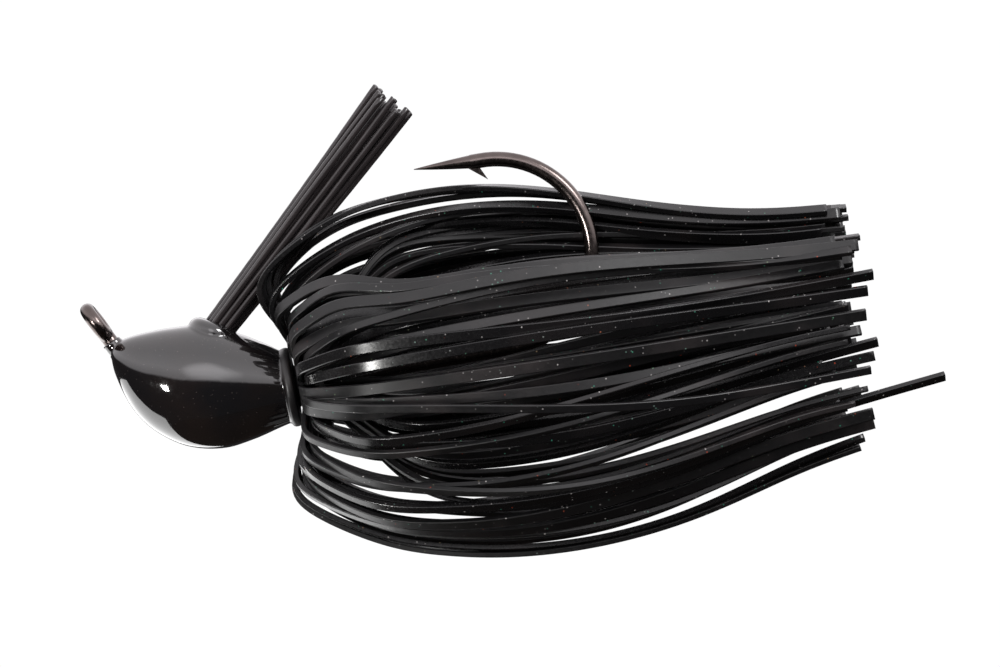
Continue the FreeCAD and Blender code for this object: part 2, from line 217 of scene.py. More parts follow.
def even(line, spacing):
    """The same line again, with points at an even spacing."""
    lengths = [0.0]
    for before, after in zip(line, line[1:]):
        lengths.append(lengths[-1] + (after - before).length)
    count = max(2, round(lengths[-1] / spacing))
    result = []
    place = 0
    for number in range(count + 1):
        want = lengths[-1] * number / count
        while place < len(line) - 2 and lengths[place + 1] < want:
            place += 1
        span = lengths[place + 1] - lengths[place]
        share = 0 if span == 0 else (want - lengths[place]) / span
        result.append(line[place].lerp(line[place + 1], min(max(share, 0), 1)))
    return result


def carried_frames(line, first_side):
    """A tangent and a side direction for each point of a line, carried along without spin."""
    tangents = []
    for number in range(len(line)):
        before = line[max(number - 1, 0)]
        after = line[min(number + 1, len(line) - 1)]
        tangents.append((after - before).normalized())
    side = (first_side - tangents[0] * first_side.dot(tangents[0])).normalized()
    frames = [(tangents[0], side)]
    for before, after in zip(tangents, tangents[1:]):
        side = before.rotation_difference(after) @ side
        side = (side - after * side.dot(after)).normalized()
        frames.append((after, side))
    return frames


# ------------------------------------------------------------------ material helpers
class Finish:
    """A small builder for one procedural material."""

    def __init__(self, name):
        self.material = bpy.data.materials.new(name)
        self.material.use_nodes = True
        self.nodes = self.material.node_tree.nodes
        self.links = self.material.node_tree.links
        self.shader = self.nodes["Principled BSDF"]

    def put(self, **values):
        for name, value in values.items():
            self.shader.inputs[name.replace("_", " ")].default_value = value

    def node(self, kind, **settings):
        made = self.nodes.new(kind)
        for name, value in settings.items():
            setattr(made, name, value)
        return made

    def place(self, scale=(1, 1, 1)):
        """Object coordinates, stretched by scale."""
        where = self.node("ShaderNodeTexCoord")
        mapping = self.node("ShaderNodeMapping")
        mapping.inputs["Scale"].default_value = scale
        self.links.new(where.outputs["Object"], mapping.inputs["Vector"])
        return mapping.outputs["Vector"]

    def noise(self, vector, scale, detail=3.0, rough=0.5):
        noise = self.node("ShaderNodeTexNoise")
        noise.inputs["Scale"].default_value = scale
        noise.inputs["Detail"].default_value = detail
        noise.inputs["Roughness"].default_value = rough
        self.links.new(vector, noise.inputs["Vector"])
        return noise.outputs["Fac"]

    def cells(self, vector, scale):
        cells = self.node("ShaderNodeTexVoronoi")
        cells.inputs["Scale"].default_value = scale
        self.links.new(vector, cells.inputs["Vector"])
        return cells

    def ramp(self, value, stops):
        """A colour ramp with stops of (position, colour)."""
        ramp = self.node("ShaderNodeValToRGB")
        elements = ramp.color_ramp.elements
        while len(elements) < len(stops):
            elements.new(0.5)
        for element, (position, colour) in zip(elements, stops):
            element.position = position
            element.color = (*colour, 1.0)
        self.links.new(value, ramp.inputs["Fac"])
        return ramp.outputs["Color"]

    def range(self, value, low, high, start=0.0, end=1.0):
        """A value between start and end mapped to low and high."""
        mapped = self.node("ShaderNodeMapRange")
        mapped.inputs["From Min"].default_value = start
        mapped.inputs["From Max"].default_value = end
        mapped.inputs["To Min"].default_value = low
        mapped.inputs["To Max"].default_value = high
        self.links.new(value, mapped.inputs["Value"])
        return mapped.outputs["Result"]

    def mix(self, factor, first, second):
        """Two colours mixed by a factor; a colour may be a socket or a tuple."""
        mixer = self.node("ShaderNodeMix", data_type="RGBA")
        self.links.new(factor, mixer.inputs["Factor"])
        for name, colour in (("A", first), ("B", second)):
            socket = [s for s in mixer.inputs if s.name == name and s.type == "RGBA"][0]
            if isinstance(colour, tuple):
                socket.default_value = (*colour, 1.0)
            else:
                self.links.new(colour, socket)
        return [s for s in mixer.outputs if s.type == "RGBA"][0]

    def bump(self, height, strength, distance):
        bump = self.node("ShaderNodeBump")
        bump.inputs["Strength"].default_value = strength
        bump.inputs["Distance"].default_value = distance
        self.links.new(height, bump.inputs["Height"])
        if self.shader.inputs["Normal"].is_linked:
            earlier = self.shader.inputs["Normal"].links[0].from_socket
            self.links.new(earlier, bump.inputs["Normal"])
        self.links.new(bump.outputs["Normal"], self.shader.inputs["Normal"])

    def drive(self, name, value):
        self.links.new(value, self.shader.inputs[name])

    def maths(self, operation, first, second, **settings):
        """The result of a sum on two values."""
        made = self.node("ShaderNodeMath", operation=operation, **settings)
        self.links.new(first, made.inputs[0])
        self.links.new(second, made.inputs[1])
        return made.outputs["Value"]


def tint(colour, factor):
    return tuple(min(channel * factor, 1.0) for channel in colour)


# ------------------------------------------------------------------ materials
def hook_finish(settings):
    """Dark plating over drawn wire: fine lines, soft blotches and a few dull spots."""
    finish = Finish("dark_plated_steel")
    colour = tuple(settings.colour)
    where = finish.place()
    blotch = finish.noise(where, 420, 4)
    plating = [(0.30, tint(colour, 0.72)), (0.62, colour), (0.80, tint(colour, 1.35))]
    finish.drive("Base Color", finish.ramp(blotch, plating))
    finish.put(Metallic=1.0)
    grain = finish.noise(where, 2600, 3, 0.6)
    polish = settings.polish
    finish.drive("Roughness", finish.range(grain, polish * 0.75, polish * 1.5, 0.3, 0.75))
    lines = finish.noise(finish.place((900, 5200, 900)), 1.0, 2)
    finish.bump(lines, 0.10, 0.00002)
    finish.bump(blotch, 0.12, 0.00004)
    return finish.material


# the paint loses its gloss over this stretch, where it runs on to the ring behind the head
DULL_FROM = 0.01725
DULL_BY = 0.0176


def head_finish(settings):
    """Deep gloss paint with faint orange peel, dust and a trace of flake, duller on the ring."""
    finish = Finish("black_head_paint")
    colour = tuple(settings.colour)
    where = finish.place()
    cloud = finish.noise(where, 160, 3)
    base = finish.ramp(cloud, [(0.35, colour), (0.75, (0.011, 0.0075, 0.0065))])
    flake = finish.cells(where, 2400)
    spark = finish.range(flake.outputs["Distance"], 1.0, 0.0, 0.02, 0.09)
    finish.drive("Base Color", finish.mix(spark, base, (0.16, 0.13, 0.12)))
    dust = finish.noise(where, 1500, 5, 0.7)
    gloss = finish.range(dust, settings.polish * 0.7, settings.polish * 2.6, 0.45, 0.85)
    axes = finish.node("ShaderNodeSeparateXYZ")
    finish.links.new(where, axes.inputs["Vector"])
    matt = finish.range(axes.outputs["X"], 0.0, 0.42, DULL_FROM, DULL_BY)
    finish.drive("Roughness", finish.maths("MAXIMUM", gloss, matt))
    coat = finish.range(axes.outputs["X"], 0.8, 0.0, DULL_FROM, DULL_BY)
    finish.drive("Coat Weight", coat)
    finish.put(Coat_Roughness=0.03, Coat_IOR=1.6)
    peel = finish.noise(where, 520, 2)
    finish.bump(peel, 0.06, 0.00010)
    return finish.material


def bristle_finish(settings):
    """Drawn nylon: lines along the bristle, brown-black, with brushed highlights."""
    finish = Finish("nylon_bristle")
    colour = tuple(settings.colour)
    where = finish.node("ShaderNodeTexCoord")
    rotate = finish.node("ShaderNodeMapping")
    rotate.inputs["Rotation"].default_value = (0, GUARD_TILT, 0)
    finish.links.new(where.outputs["Object"], rotate.inputs["Vector"])
    stretch = finish.node("ShaderNodeMapping")
    stretch.inputs["Scale"].default_value = (140, 4800, 4800)
    finish.links.new(rotate.outputs["Vector"], stretch.inputs["Vector"])
    streak = finish.noise(stretch.outputs["Vector"], 1.0, 3, 0.6)
    nylon = [(0.3, tint(colour, 0.55)), (0.6, colour), (0.85, tint(colour, 2.4))]
    finish.drive("Base Color", finish.ramp(streak, nylon))
    finish.drive("Roughness", finish.range(streak, 0.16, 0.30, 0.3, 0.7))
    finish.bump(streak, 0.25, 0.00003)
    return finish.material


# red, green, grey and pale flake
FLAKE_COLOURS = [(0.15, (0.38, 0.05, 0.02)), (0.30, (0.02, 0.20, 0.13)),
                 (0.50, (0.16, 0.15, 0.15)), (0.85, (0.42, 0.40, 0.39))]


def strand_finish(settings, name, warmth):
    """Black silicone: a fine matt skin, scattered coloured flake, and paler patches that grow paler with warmth:
    partly dust, partly a painted lit grey that stands in for light on the ribbons."""
    finish = Finish(name)
    colour = tuple(settings.colour)
    where = finish.place()
    patch = finish.noise(where, 95 + 20 * warmth, 3)
    # paler patches: partly dust, partly painted lit grey, paler on the warmer copies
    dust_and_lit_grey = (0.012 + 0.016 * warmth, 0.010 + 0.013 * warmth, 0.010 + 0.013 * warmth)
    base = finish.ramp(patch, [(0.32, tint(colour, 0.6)), (0.55, colour), (0.80, dust_and_lit_grey)])
    speck = finish.cells(where, 1700)
    dot = finish.range(speck.outputs["Distance"], 1.0, 0.0, 0.06, 0.17)
    rare = finish.noise(where, 520, 0)
    few = finish.range(rare, 0.0, 1.0, 0.49, 0.55)
    both = finish.maths("MULTIPLY", dot, few, use_clamp=True)
    flake = finish.ramp(speck.outputs["Color"], FLAKE_COLOURS)
    finish.drive("Base Color", finish.mix(both, base, flake))
    grain = finish.noise(where, 3800, 4, 0.65)
    skin_dullness = finish.range(grain, 0.19 + 0.16 * warmth, 0.32 + 0.18 * warmth, 0.3, 0.75)
    finish.drive("Roughness", skin_dullness)
    finish.put(Specular_IOR_Level=0.45)
    finish.bump(grain, 0.20, 0.00002)
    ripple = finish.noise(where, 900, 2)
    finish.bump(ripple, 0.14, 0.00006)
    return finish.material


def band_finish():
    """Plain black rubber with a moulded, slightly dusty skin."""
    finish = Finish("band_rubber")
    where = finish.place()
    dust = finish.noise(where, 700, 4, 0.6)
    rubber = [(0.35, (0.012, 0.012, 0.012)), (0.8, (0.04, 0.038, 0.036))]
    finish.drive("Base Color", finish.ramp(dust, rubber))
    finish.drive("Roughness", finish.range(dust, 0.4, 0.65, 0.3, 0.7))
    finish.bump(dust, 0.3, 0.00004)
    return finish.material


def root_finish():
    """The melted root of the bristle bundle, dark and glassy."""
    finish = Finish("fused_root")
    where = finish.place()
    melt = finish.noise(where, 500, 3)
    fused = [(0.3, (0.010, 0.009, 0.009)), (0.7, (0.03, 0.026, 0.024))]
    finish.drive("Base Color", finish.ramp(melt, fused))
    finish.drive("Roughness", finish.range(melt, 0.18, 0.4, 0.3, 0.7))
    finish.bump(melt, 0.3, 0.00008)
    return finish.material


# ------------------------------------------------------------------ head
# stations along the casting: share of its length, top and bottom as shares of its height,
# and width as a share of its width
HEAD_STATIONS = [
    (0.000, 0.185, 0.185, 0.00),
    (0.014, 0.080, 0.325, 0.27),
    (0.046, 0.047, 0.482, 0.45),
    (0.100, 0.020, 0.640, 0.62),
    (0.200, 0.004, 0.800, 0.80),
    (0.360, 0.000, 0.942, 0.97),
    (0.560, 0.028, 1.000, 1.00),
    (0.740, 0.130, 0.970, 0.93),
    (0.895, 0.255, 0.918, 0.81),
    (1.000, 0.361, 0.884, 0.713),
]
NOSE_BACK = 0.80 * MM
HEAD_LENGTH = 17.3 * MM
HEAD_TOP = -1.75 * MM
HEAD_HEIGHT = 12.8 * MM
HEAD_WIDTH = 9.4 * MM
HEAD_RINGS = 90
HEAD_SIDES = 96

# the keeper behind the head, a stem with a bead under the band: (x, radius) in millimetres
KEEPER_STATIONS = [
    (18.45, 3.00), (18.52, 2.5), (18.55, 2.05), (19.6, 2.0), (20.05, 2.2), (20.5, 2.55),
    (20.9, 2.65), (21.3, 2.55), (21.75, 2.2), (22.1, 2.0), (22.35, 1.95), (22.4, 1.2),
]

# the ring round the casting's rear end, in millimetres
LIP_FRONT = 17.5
LIP_REAR = 18.5
LIP_RADIUS = 4.0
LIP_EDGE = 0.35
LIP_SIDES = 72

BOSS_TILT = math.radians(60)
BOSS_RADIUS = 2.55 * MM
BOSS_EDGE = 1.0 * MM
ROD_DEPTH = 4.5 * MM
ROD_SIDES = 64
EDGE_STEPS = 6
LEG_DIR = Vector((4.97, 0, -9.72)).normalized()
LEG_START = 2.35 * MM
LEG_RADIUS = 0.98 * MM


def station_values(share):
    """Top, bottom and width at a share of the casting's length, on a smooth curve through
    the stations that starts upright at the nose."""
    want = math.sqrt(share)
    knots = [(math.sqrt(row[0]), row[1:]) for row in HEAD_STATIONS]
    for number in range(len(knots) - 1):
        if want <= knots[number + 1][0] or number == len(knots) - 2:
            break
    left, right = knots[number], knots[number + 1]
    before = knots[max(number - 1, 0)]
    after = knots[min(number + 2, len(knots) - 1)]
    width = right[0] - left[0]
    t = (want - left[0]) / width
    values = []
    for index in range(3):
        slope_left = (right[1][index] - before[1][index]) / (right[0] - before[0])
        slope_right = (after[1][index] - left[1][index]) / (after[0] - left[0])
        values.append((2 * t ** 3 - 3 * t * t + 1) * left[1][index]
                      + (t ** 3 - 2 * t * t + t) * width * slope_left
                      + (-2 * t ** 3 + 3 * t * t) * right[1][index]
                      + (t ** 3 - t * t) * width * slope_right)
    return values


def casting_body():
    """The closed shell of the casting, from the nose to the keeper behind it."""
    rings = []
    for step in range(1, HEAD_RINGS + 1):
        part = step / HEAD_RINGS
        share = part ** 2 * 0.5 + part * 0.5
        top, bottom, width = station_values(share)
        middle = HEAD_TOP - HEAD_HEIGHT * (top + bottom) / 2
        half_height = HEAD_HEIGHT * (bottom - top) / 2
        rings.append(oval(NOSE_BACK + HEAD_LENGTH * share, middle, half_height,
                          HEAD_WIDTH * width / 2, HEAD_SIDES))
    for x, radius in KEEPER_STATIONS:
        rings.append(oval(x * MM, AXIS_Z, radius * MM, radius * MM, HEAD_SIDES))
    nose = Vector((NOSE_BACK, 0, HEAD_TOP - HEAD_HEIGHT * HEAD_STATIONS[0][1]))
    vertices, faces = skin(rings, cap_start=False)
    vertices.append(nose)
    for side in range(HEAD_SIDES):
        faces.append((len(vertices) - 1, (side + 1) % HEAD_SIDES, side))
    return vertices, faces


def rod(start, end, radius, edge=0.0):
    """A plain closed rod for joining into a larger shape; edge rounds its far rim."""
    tangent = (end - start).normalized()
    other = tangent.cross(ACROSS)
    stations = [(start, radius)]
    for step in range(EDGE_STEPS + 1 if edge else 1):
        turn = math.pi / 2 * step / EDGE_STEPS
        stations.append((end - tangent * edge * (1 - math.sin(turn)),
                         radius - edge * (1 - math.cos(turn))))
    turns = [math.tau * number / ROD_SIDES for number in range(ROD_SIDES)]
    return skin([[point + (ACROSS * math.cos(turn) + other * math.sin(turn)) * reach
                  for turn in turns] for point, reach in stations])


def collar_lip():
    """The ring round the casting's rear end, with both rims rounded."""
    turns = [math.pi / 2 * step / 4 for step in range(5)]
    profile = [(LIP_FRONT + LIP_EDGE * (1 - math.cos(turn)),
                LIP_RADIUS - LIP_EDGE * (1 - math.sin(turn))) for turn in turns]
    profile += [(LIP_REAR - LIP_EDGE * (1 - math.sin(turn)),
                 LIP_RADIUS - LIP_EDGE * (1 - math.cos(turn))) for turn in turns]
    return skin([oval(x * MM, AXIS_Z, radius * MM, radius * MM, LIP_SIDES)
                 for x, radius in profile])


class JIG_OT_head(bpy.types.Operator):
    """Builds the painted casting, with its boss, paint fillets and skirt keeper"""
    bl_idname = "jig.head"
    bl_label = "Painted head"

    def execute(self, context):
        settings = context.scene.jig_head
        boss_dir = Vector((math.cos(BOSS_TILT), 0, math.sin(BOSS_TILT)))
        boss_top = GUARD_MOUTH - Vector((0.75 * MM, 0, 0)) + boss_dir * 0.05 * MM
        pieces = [casting_body(),
                  collar_lip(),
                  rod(boss_top - boss_dir * ROD_DEPTH, boss_top, BOSS_RADIUS, BOSS_EDGE),
                  rod(LEG_DIR * LEG_START, LEG_DIR * ROD_DEPTH, LEG_RADIUS)]
        joined = bmesh.new()
        for vertices, faces in pieces:
            part = bmesh.new()
            made = [part.verts.new(v) for v in vertices]
            for face in faces:
                part.faces.new([made[index] for index in face])
            bmesh.ops.recalc_face_normals(part, faces=part.faces)
            holder = bpy.data.meshes.new("holder")
            part.to_mesh(holder)
            part.free()
            joined.from_mesh(holder)
            bpy.data.meshes.remove(holder)
        mesh = bpy.data.meshes.new("painted_head")
        joined.to_mesh(mesh)
        joined.free()
        head = new_object("painted_head", mesh, head_finish(settings))
        remesh = head.modifiers.new("cast", "REMESH")
        remesh.mode = "VOXEL"
        remesh.voxel_size = settings.voxel
        remesh.use_smooth_shade = True
        soften = head.modifiers.new("paint", "SMOOTH")
        soften.factor = 0.5
        soften.iterations = settings.rounding
        apply_modifiers(head)
        shade(head.data)
        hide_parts("head_casting")
        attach(head, ROOT)
        return {"FINISHED"}


def apply_modifiers(thing):
    """Bakes an object's modifiers into its mesh."""
    bpy.context.view_layer.update()
    ready = thing.evaluated_get(bpy.context.evaluated_depsgraph_get())
    mesh = bpy.data.meshes.new_from_object(ready)
    old = thing.data
    thing.modifiers.clear()
    thing.data = mesh
    mesh.name = old.name
    bpy.data.meshes.remove(old)


# ------------------------------------------------------------------ hook and hidden pieces
class JIG_OT_hook(bpy.types.Operator):
    """Gives the hook, the band and the guard's root their finishes"""
    bl_idname = "jig.hook"
    bl_label = "Hook and fittings"

    def execute(self, context):
        finishes = {"hook": hook_finish(context.scene.jig_hook), "skirt_band": band_finish(),
                    "guard_base": root_finish()}
        for node, material in finishes.items():
            mesh = frame["nodes"][node].data
            mesh.materials.clear()
            mesh.materials.append(material)
        return {"FINISHED"}


# ------------------------------------------------------------------ weed guard
BRISTLE_RADIUS = 0.325 * MM
BRISTLE_SIDES = 12
BRISTLE_STEPS = 32
SOCKET_DEPTH = 1.2 * MM


def bristle_line(node, rng, wobble):
    """The middle line of one bristle, from inside its socket to its cut tip."""
    corners = [v.co for v in frame["nodes"][node].data.vertices]
    along = sorted(corners, key=lambda point: (point - GUARD_MOUTH).dot(GUARD_DIR))
    share = max(8, len(along) // 2)
    foot = sum(along[:share], Vector()) / share
    tip = sum(along[-share:], Vector()) / share
    drift = (tip - foot).normalized()
    other = drift.cross(ACROSS).normalized()
    phase = rng.uniform(0, math.tau)
    reach = (tip - foot).length
    line = []
    for step in range(BRISTLE_STEPS + 1):
        part = step / BRISTLE_STEPS
        sway = wobble * part * (math.sin(phase + 3.0 * part) * 1.6
                                + math.sin(2 * phase + 8.0 * part) * 0.5)
        cross = wobble * part * math.cos(1.7 * phase + 4.0 * part)
        along_axis = drift * (reach * part - SOCKET_DEPTH * (1 - part))
        line.append(foot + along_axis + ACROSS * sway + other * cross)
    return line


def bristle_rings(line, number, slant):
    """The sections of one bristle, with a slanted cut and a soft crown at its tip."""
    frames = carried_frames(line, ACROSS)
    rings = []
    for step, (point, (tangent, side)) in enumerate(zip(line, frames)):
        other = tangent.cross(side)
        swell = 1 + 0.02 * math.sin(9.0 * step + number)
        ring = []
        for corner in range(BRISTLE_SIDES):
            angle = math.tau * corner / BRISTLE_SIDES
            outward = side * math.cos(angle) + other * math.sin(angle)
            spot = point + outward * BRISTLE_RADIUS * swell
            if step == len(line) - 1:
                cut = slant.x * math.cos(angle) + slant.y * math.sin(angle)
                spot += tangent * 0.16 * MM * cut
            ring.append(spot)
        rings.append(ring)
    tip, (tangent, _) = line[-1], frames[-1]
    rings.append([tip + (spot - tip) * 0.72 + tangent * 0.07 * MM for spot in rings[-1]])
    return rings


class JIG_OT_guard(bpy.types.Operator):
    """Builds the bristles of the weed guard, each bending out of the socket"""
    bl_idname = "jig.guard"
    bl_label = "Weed guard"

    def execute(self, context):
        settings = context.scene.jig_guard
        material = bristle_finish(settings)
        for number, node in enumerate(BODIES["guard"]):
            rng = random.Random(510 + number)
            line = bristle_line(node, rng, settings.wobble)
            slant = Vector((rng.uniform(-1, 1), rng.uniform(-1, 1)))
            vertices, faces = skin(bristle_rings(line, number, slant))
            name = "bristle_%02d" % (number + 1)
            mesh = mesh_from(name, vertices, faces)
            shade(mesh)
            bristle = new_object(name, mesh, material)
            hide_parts(node)
            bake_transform(bristle)
        return {"FINISHED"}


# ------------------------------------------------------------------ skirt
# the skirt's outline at shares of its length behind the band: mean radius in millimetres,
# and how much further it hangs below than above
SKIRT_STATIONS = [
    (0.074, 16.84, 0.46),
    (0.238, 19.16, 1.44),
    (0.437, 19.18, 2.42),
    (0.655, 16.03, 3.87),
    (0.819, 13.24, 3.66),
    (1.000, 12.10, 3.50),
    (1.200, 11.60, 3.50),
]
SKIRT_LENGTH = 55.1
BAND_MM = BAND_X / MM
SKIRT_END = BAND_MM + SKIRT_LENGTH

# each column of strands has an inner and an outer layer: the radius at which the band
# grips it, and the radius of its fold, in millimetres
INNER_RING = 3.10
OUTER_RING = 3.80
INNER_BEND = 1.72
OUTER_BEND = 1.02
COLUMNS = 17
COLUMN_STEP = 20

# how far the folded loops lean above and below the shank, and at its sides
FOLD_LEAN = math.radians(27)
SIDE_LEAN = math.radians(-8)
LOOP_HEIGHT = 10.8

# more strands over the top: the column they ride with, and degrees round from the top
TOP_STRANDS = [(0, 11), (0, 14), (0, 8),
               (COLUMNS - 1, 346), (COLUMNS - 1, 350), (COLUMNS - 1, 353)]
TOP_LEAN = -0.13

# places in millimetres along the rear and front tails, and where the tails begin
REAR_STATIONS = (67.0, 56.0, 46.0, 36.0, 29.0)
FRONT_STATIONS = (24.6, 30.0, 37.0, 46.0, 56.0, 66.0)
TAIL_START = 22
TAIL_RUN = 50
TAIL_SCATTER = 1.6

# a near strand moves aside at the hook over this many millimetres behind the band
CROSSING_RUN = 20
SINKING_RUN = 9

STRAND_SPACING = 0.5 * MM
STRAND_CORNER = 0.09 * MM


def skirt_radius(x, angle):
    """The skirt's outer radius in millimetres at x, angle round from the top."""
    along = (x - BAND_MM) / SKIRT_LENGTH
    for (xa, ma, sa), (xb, mb, sb) in zip(SKIRT_STATIONS, SKIRT_STATIONS[1:]):
        if along <= xb:
            break
    share = min(max((along - xa) / (xb - xa), 0.0), 1.0)
    return ma + (mb - ma) * share - (sa + (sb - sa) * share) * math.cos(angle)


def cad_strands():
    """Every strand of the frame: its node, column, layer, angle, shares and length."""
    found = []
    for number in range(1, 2 * COLUMNS + 1):
        column, inner = (number - 1) // 2, number % 2 == 1
        at_top = column in (0, COLUMNS - 1)
        odd = column % 2
        if inner:
            tail_share = 0.48 if at_top else 0.46 + 0.03 * odd
            loop_share = 1.0 - 0.07 * odd
        else:
            tail_share = 0.64 if at_top else 0.63 + 0.03 * odd
            loop_share = 0.83 - 0.03 * odd
        node = "skirt_strand_%02d" % number
        found.append({"node": node, "column": column, "inner": inner,
                      "angle": math.radians(COLUMN_STEP + COLUMN_STEP * column),
                      "tail": tail_share, "loop": loop_share, "end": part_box(node)[1].x / MM})
    return found


def trimmed(end, angle):
    """The tails below are cut a little shorter than those at the sides, but for the one
    that was missed."""
    if end > SKIRT_END + 3:
        return end
    below, above = max(0.0, -math.cos(angle)), max(0.0, math.cos(angle))
    return end - 0.8 - 2.4 * below - 0.8 * above


def spare_strands(count, rng):
    """More strands between the frame's columns, so that the skirt is as full as it should be."""
    found = []
    for column in range(COLUMNS - 1):
        for layer in range(count):
            place = (layer + 1) / (count + 1)
            steps = column + place + rng.uniform(-0.12, 0.12)
            found.append({"node": None, "column": column, "inner": (column + layer) % 2 == 0,
                          "angle": math.radians(COLUMN_STEP + COLUMN_STEP * steps),
                          "tail": rng.uniform(0.30, 0.72), "loop": rng.uniform(0.78, 0.98),
                          "end": SKIRT_END + rng.uniform(-1, 1) * TAIL_SCATTER})
    for column, degrees in TOP_STRANDS:
        found.append({"node": None, "column": column, "inner": degrees % 2 == 0,
                      "angle": math.radians(degrees), "lean": TOP_LEAN,
                      "tail": rng.uniform(0.5, 0.8), "loop": rng.uniform(0.93, 1.03),
                      "end": SKIRT_END + rng.uniform(-1, 1) * TAIL_SCATTER})
    return found


def parted(angle):
    """How far round a near strand moves at the hook: the topmost cross over inside the
    hook's gap and pass behind the bend, and the next ones sink below it."""
    degrees = math.degrees(angle) % 360
    if degrees > 326:
        target = 2 + 0.55 * (degrees - 326)
        return math.radians(target + 360 - degrees)
    if degrees > 288:
        return math.radians(288 + 0.30 * (degrees - 288) - degrees)
    return 0.0


def sway(rng, wander):
    """A tail's drift to one side, and the swing and phase of its wave."""
    return (rng.uniform(-wander, wander), rng.uniform(0.2, 0.6) * wander,
            rng.uniform(0, math.tau))


def strand_plan(strand, rng, settings):
    """Where one strand runs, as (x, radius, angle) from its rear tail's end, under the band,
    round the fold and back to its front tail's end; and the radius where it is gripped."""
    angle = strand["angle"]
    end_x = trimmed(strand["end"], angle)
    nip, bend = (INNER_RING, INNER_BEND) if strand["inner"] else (OUTER_RING, OUTER_BEND)
    upright = math.cos(angle) ** 2
    lean = (FOLD_LEAN * upright + SIDE_LEAN * (1 - upright) + rng.uniform(-0.08, 0.05)
            + strand.get("lean", 0))
    fold_x = BAND_MM - bend * math.tan((math.pi / 2 - lean) / 2)
    fold_z = BAND_RING / MM
    loop_z = LOOP_HEIGHT * strand["loop"]
    loop_x = fold_x - (loop_z - nip) * math.tan(lean)
    shift = parted(angle)
    run = CROSSING_RUN if shift > 0 else SINKING_RUN

    def stray(x, drift, swing, phase):
        part = min(max((x - BAND_MM - 1.5) / TAIL_RUN, 0), 1)
        moved = min(max((x - BAND_MM) / run, 0), 1)
        return (drift * part + swing * math.sin(phase + 3.2 * part) * part
                + shift * moved * moved * (3 - 2 * moved))

    plan = []
    drift, swing, phase = sway(rng, settings.wander)
    lift, wave = rng.uniform(-0.10, 0.10), rng.uniform(0, math.tau)
    rear_end = min(end_x, SKIRT_END + 1.2) - 0.6 - rng.uniform(0, 1.5)
    for x in (rear_end, *REAR_STATIONS):
        share = (strand["tail"] + lift * (x - TAIL_START) / TAIL_RUN
                 + 0.035 * math.sin(wave + x / 9))
        plan.append((x, share * skirt_radius(x, angle), angle + stray(x, drift, swing, phase)))
    outer = strand["tail"] * skirt_radius(REAR_STATIONS[-1], angle)
    plan += [(24.9, nip + 0.42 * (outer - nip), angle),
             (BAND_MM + 1.8, nip + 0.25, angle),
             (BAND_MM + 1.0, nip, angle),
             (BAND_MM + 0.3, nip, angle),
             (BAND_MM - 0.3, nip, angle)]
    for step in range(5):
        turn = (math.pi / 2 - lean) * (step + 0.4) / 4
        plan.append((BAND_MM - bend * math.sin(turn), fold_z - bend * math.cos(turn), angle))

    drift, swing, phase = sway(rng, settings.wander)
    lift, wave = rng.uniform(-0.06, 0.03), rng.uniform(0, math.tau)
    if rng.random() < settings.loose and not shift:
        drift *= 2.6
    early = fold_x - (loop_z * 0.62 - nip) * math.tan(lean)
    plan += [(early, loop_z * 0.62, angle),
             (loop_x - 0.35, loop_z * 0.95, angle),
             (loop_x + 1.6, loop_z * 1.20, angle + 0.3 * stray(30, drift, swing, phase))]
    for x in (*FRONT_STATIONS, end_x):
        share = (strand["loop"] * (1 + lift * min((x - TAIL_START) / 30, 1))
                 + 0.026 * math.sin(wave + x / 8) * (x - TAIL_START) / TAIL_RUN)
        turn = angle + stray(x, drift, swing, phase)
        radius = share * skirt_radius(x, turn)
        crown = (0.98 - 0.06 * min(max((x - 38) / 10, 0), 1)) * skirt_radius(x, 0)
        if radius * math.cos(turn) > crown:
            radius = crown / math.cos(turn)
        plan.append((x, radius, turn))
    return plan, nip


def section_of(point, tangent, side, width, thickness):
    """The rounded oblong section of a strand, twelve points round."""
    other = tangent.cross(side)
    half_width, half_depth = width / 2 - STRAND_CORNER, thickness / 2 - STRAND_CORNER
    ring = []
    for across, up, start in ((1, 1, 0), (-1, 1, 1), (-1, -1, 2), (1, -1, 3)):
        for step in range(3):
            turn = math.pi / 2 * (start + step / 2)
            ring.append(point + side * (across * half_width + STRAND_CORNER * math.cos(turn))
                        + other * (up * half_depth + STRAND_CORNER * math.sin(turn)))
    return ring


def strand_rings(line, angle, nip, twists, width, thickness):
    """The sections of one strand: flat and squeezed under the band, and turned about
    itself towards each end."""
    flat = Vector((0, math.cos(angle), -math.sin(angle)))
    middle = min(range(len(line)), key=lambda n: abs(line[n].x - BAND_X)
                 + abs(math.hypot(line[n].y, line[n].z - AXIS_Z) - nip * MM))
    forward = carried_frames(line[middle:], flat)
    backward = carried_frames(list(reversed(line[:middle + 1])), flat)
    frames = [(-tangent, side) for tangent, side in reversed(backward)][:-1] + forward
    rings = []
    for place, (point, (tangent, side)) in enumerate(zip(line, frames)):
        away = abs(place - middle) * STRAND_SPACING
        end = twists[0] if place < middle else twists[1]
        turn = end * min(max(away / (55 * MM) - 0.14, 0) / 0.86, 1.0) ** 1.3
        twisted = Quaternion(tangent, turn) @ side
        squeeze = 1 - 0.26 * math.exp(-(away / (4.5 * MM)) ** 2)
        rings.append(section_of(point, tangent, twisted, width * squeeze, thickness))
    return rings


def crisp_flats(mesh, count):
    """Marks the lengthwise edges where a strand's rounded corners meet its flat faces."""
    marks = []
    for edge in mesh.edges:
        low, high = sorted(edge.vertices)
        marks.append(high - low == count and low % 3 != 1)
    mesh.edges.foreach_set("use_edge_sharp", marks)


